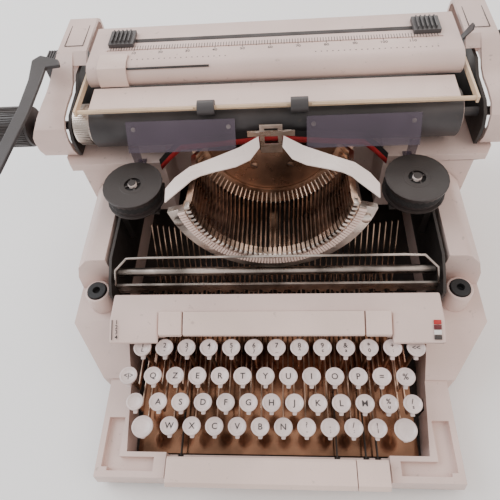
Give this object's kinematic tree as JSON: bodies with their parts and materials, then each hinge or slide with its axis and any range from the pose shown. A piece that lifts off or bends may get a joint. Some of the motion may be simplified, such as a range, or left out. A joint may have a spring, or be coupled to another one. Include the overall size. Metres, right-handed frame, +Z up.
{
  "type": "typewriter",
  "caption": "Manual office typewriter, top cover off: keyboard, leaning type basket, ribbon spools and a sliding carriage with platen, bail and paper table.",
  "frame": {"origin": "centre of the bounding box's base, on the surface that the feet stand on", "axes": "+X to the typist's right along the carriage, +Y away from the typist, +Z up"},
  "size_m": [0.524, 0.4176, 0.214],
  "materials": {
    "body_shell": "fine satin texture, cool putty",
    "cream_trim": "satin cream",
    "key_cap": "semi-gloss off-white",
    "dark_frame": "dark grey, worn",
    "bright_steel": "worn nickel",
    "brown_metal": "dark bronze, oily",
    "black_plastic": "satin black",
    "grey_plastic": "satin slate grey",
    "platen_rubber": "smooth hard rubber",
    "clear_plastic": "clear, lightly scratched",
    "ribbon_cloth": "inked woven ribbon, black over red"
  },
  "bodies": {
    "case": {"base_shell": "body_shell", "bottom_pan": "dark_frame", "key_well_floor": "brown_metal", "keyboard_cover": "body_shell", "side_plate_left": "dark_frame", "side_plate_right": "dark_frame", "cross_rod": "bright_steel", "comb_bar": "bright_steel", "wire_bail": "bright_steel", "grommet_left": "platen_rubber", "grommet_right": "platen_rubber", "rear_cover": "body_shell", "carriage_rail": "bright_steel", "segment": "brown_metal", "type_basket": "bright_steel", "type_bars": "bright_steel", "spool_bracket_left": "dark_frame", "spool_bracket_right": "dark_frame", "wing_left": "cream_trim", "wing_right": "cream_trim", "card_holder_left": "clear_plastic", "card_holder_right": "clear_plastic", "ribbon": "ribbon_cloth"},
    "carriage": {"carriage_frame": "dark_frame", "end_cover_left": "body_shell", "end_cover_right": "body_shell", "paper_table": "body_shell", "erasure_plate": "cream_trim"},
    "platen": {"platen": "platen_rubber", "ratchet_wheel": "bright_steel", "knob_left": "black_plastic", "knob_right": "black_plastic"},
    "spool_left": {"spool_left": "black_plastic"},
    "spool_right": {"spool_right": "black_plastic"},
    "ribbon_vibrator": {"ribbon_vibrator": "bright_steel"},
    "line_space_lever": {"line_space_lever": "grey_plastic"},
    "paper_bail": {"paper_bail": "bright_steel"},
    "bail_roller_left": {"bail_roller_left": "grey_plastic"},
    "bail_roller_right": {"bail_roller_right": "grey_plastic"},
    "margin_stop_left": {"margin_stop_left": "grey_plastic"},
    "margin_stop_right": {"margin_stop_right": "grey_plastic"},
    "paper_guide": {"paper_guide": "cream_trim"},
    "paper_release_lever": {"paper_release_lever": "grey_plastic"},
    "release_button_left": {"release_button_left": "grey_plastic"},
    "release_button_right": {"release_button_right": "grey_plastic"},
    "number_row_keys": {"number_row_keys": "key_cap"},
    "upper_row_keys": {"upper_row_keys": "key_cap"},
    "home_row_keys": {"home_row_keys": "key_cap"},
    "lower_row_keys": {"lower_row_keys": "key_cap"},
    "backspace_key": {"backspace_key": "key_cap"},
    "margin_release_key": {"margin_release_key": "key_cap"},
    "shift_lock_key": {"shift_lock_key": "key_cap"},
    "shift_key_left": {"shift_key_left": "key_cap"},
    "shift_key_right": {"shift_key_right": "key_cap"},
    "space_bar": {"space_bar": "cream_trim"},
    "half_space_bar": {"half_space_bar": "cream_trim"},
    "tab_set_key": {"tab_set_key": "cream_trim"},
    "tab_bar": {"tab_bar": "cream_trim"},
    "tab_clear_key": {"tab_clear_key": "cream_trim"}
  },
  "joints": [
    {"name": "carriage_slide", "type": "slide", "parent": "case", "child": "carriage", "axis": [1, 0, 0], "range_m": [-0.1, 0.1]},
    {"name": "platen_turn", "type": "hinge", "parent": "carriage", "child": "platen", "pos_m": [0, 0.08485, 0.16], "axis": [1, 0, 0], "continuous": true},
    {"name": "line_space_swing", "type": "hinge", "parent": "carriage", "child": "line_space_lever", "pos_m": [-0.2, 0.12285, 0.2], "axis": [0, 0, 1], "range_deg": [0, 24], "stiffness_Nm_per_rad": 0.1, "springref_deg": -28.65},
    {"name": "bail_lift", "type": "hinge", "parent": "carriage", "child": "paper_bail", "pos_m": [0, 0.14285, 0.186], "axis": [-1, 0, 0], "range_deg": [0, 40]},
    {"name": "bail_roller_left_turn", "type": "hinge", "parent": "paper_bail", "child": "bail_roller_left", "pos_m": [-0.056, 0.07185, 0.1853], "axis": [1, 0, 0], "continuous": true},
    {"name": "bail_roller_right_turn", "type": "hinge", "parent": "paper_bail", "child": "bail_roller_right", "pos_m": [0.025, 0.07185, 0.1853], "axis": [1, 0, 0], "continuous": true},
    {"name": "margin_left_slide", "type": "slide", "parent": "carriage", "child": "margin_stop_left", "axis": [1, 0, 0], "range_m": [-0.01, 0.12]},
    {"name": "margin_right_slide", "type": "slide", "parent": "carriage", "child": "margin_stop_right", "axis": [1, 0, 0], "range_m": [-0.12, 0.01]},
    {"name": "paper_guide_slide", "type": "slide", "parent": "carriage", "child": "paper_guide", "axis": [1, 0, 0], "range_m": [-0.005, 0.06]},
    {"name": "paper_release_pull", "type": "hinge", "parent": "carriage", "child": "paper_release_lever", "pos_m": [0.175, 0.15085, 0.188], "axis": [1, 0, 0], "range_deg": [0, 20]},
    {"name": "release_left_press", "type": "slide", "parent": "carriage", "child": "release_button_left", "axis": [0, 0, -1], "range_m": [0, 0.003], "stiffness_N_per_m": 300, "springref_m": -0.005},
    {"name": "spool_left_turn", "type": "hinge", "parent": "case", "child": "spool_left", "pos_m": [-0.1246, 0.02175, 0.145], "axis": [0, 0, 1], "continuous": true},
    {"name": "release_right_press", "type": "slide", "parent": "carriage", "child": "release_button_right", "axis": [0, 0, -1], "range_m": [0, 0.003], "stiffness_N_per_m": 300, "springref_m": -0.005},
    {"name": "spool_right_turn", "type": "hinge", "parent": "case", "child": "spool_right", "pos_m": [0.1246, 0.02175, 0.145], "axis": [0, 0, 1], "continuous": true},
    {"name": "vibrator_lift", "type": "slide", "parent": "case", "child": "ribbon_vibrator", "axis": [0, 0, 1], "range_m": [0, 0.006], "stiffness_N_per_m": 50, "springref_m": -0.01},
    {"name": "number_row_press", "type": "hinge", "parent": "case", "child": "number_row_keys", "pos_m": [0, 0.00285, 0.0355], "axis": [1, 0, 0], "range_deg": [0, 3], "stiffness_Nm_per_rad": 2, "springref_deg": -17.19},
    {"name": "upper_row_press", "type": "hinge", "parent": "case", "child": "upper_row_keys", "pos_m": [0, 0.00285, 0.0355], "axis": [1, 0, 0], "range_deg": [0, 3], "stiffness_Nm_per_rad": 2, "springref_deg": -17.19},
    {"name": "home_row_press", "type": "hinge", "parent": "case", "child": "home_row_keys", "pos_m": [0, 0.00285, 0.0355], "axis": [1, 0, 0], "range_deg": [0, 3], "stiffness_Nm_per_rad": 2, "springref_deg": -17.19},
    {"name": "lower_row_press", "type": "hinge", "parent": "case", "child": "lower_row_keys", "pos_m": [0, 0.00285, 0.0355], "axis": [1, 0, 0], "range_deg": [0, 3], "stiffness_Nm_per_rad": 2, "springref_deg": -17.19},
    {"name": "backspace_press", "type": "hinge", "parent": "case", "child": "backspace_key", "pos_m": [0, 0.00285, 0.0355], "axis": [1, 0, 0], "range_deg": [0, 3], "stiffness_Nm_per_rad": 2, "springref_deg": -17.19},
    {"name": "margin_release_press", "type": "hinge", "parent": "case", "child": "margin_release_key", "pos_m": [0, 0.00285, 0.0355], "axis": [1, 0, 0], "range_deg": [0, 3], "stiffness_Nm_per_rad": 2, "springref_deg": -17.19},
    {"name": "shift_lock_press", "type": "hinge", "parent": "case", "child": "shift_lock_key", "pos_m": [0, 0.00285, 0.0355], "axis": [1, 0, 0], "range_deg": [0, 3], "stiffness_Nm_per_rad": 2, "springref_deg": -17.19},
    {"name": "shift_left_press", "type": "hinge", "parent": "case", "child": "shift_key_left", "pos_m": [0, 0.00285, 0.0355], "axis": [1, 0, 0], "range_deg": [0, 3], "stiffness_Nm_per_rad": 2, "springref_deg": -17.19},
    {"name": "shift_right_press", "type": "hinge", "parent": "case", "child": "shift_key_right", "pos_m": [0, 0.00285, 0.0355], "axis": [1, 0, 0], "range_deg": [0, 3], "stiffness_Nm_per_rad": 2, "springref_deg": -17.19},
    {"name": "space_bar_press", "type": "hinge", "parent": "case", "child": "space_bar", "pos_m": [0, 0.00285, 0.025], "axis": [1, 0, 0], "range_deg": [0, 1.4], "stiffness_Nm_per_rad": 2, "springref_deg": -17.19},
    {"name": "half_space_bar_press", "type": "hinge", "parent": "case", "child": "half_space_bar", "pos_m": [0, 0.00285, 0.025], "axis": [1, 0, 0], "range_deg": [0, 1.4], "stiffness_Nm_per_rad": 2, "springref_deg": -17.19},
    {"name": "tab_set_press", "type": "slide", "parent": "case", "child": "tab_set_key", "axis": [0, 0, -1], "range_m": [0, 0.003], "stiffness_N_per_m": 300, "springref_m": -0.008},
    {"name": "tab_bar_press", "type": "slide", "parent": "case", "child": "tab_bar", "axis": [0, 0, -1], "range_m": [0, 0.003], "stiffness_N_per_m": 300, "springref_m": -0.008},
    {"name": "tab_clear_press", "type": "slide", "parent": "case", "child": "tab_clear_key", "axis": [0, 0, -1], "range_m": [0, 0.003], "stiffness_N_per_m": 300, "springref_m": -0.008}
  ],
  "couplings": [
    {"joint": "shift_right_press", "follows": "shift_left_press", "ratio": 1},
    {"joint": "shift_lock_press", "follows": "shift_left_press", "ratio": 1}
  ]
}
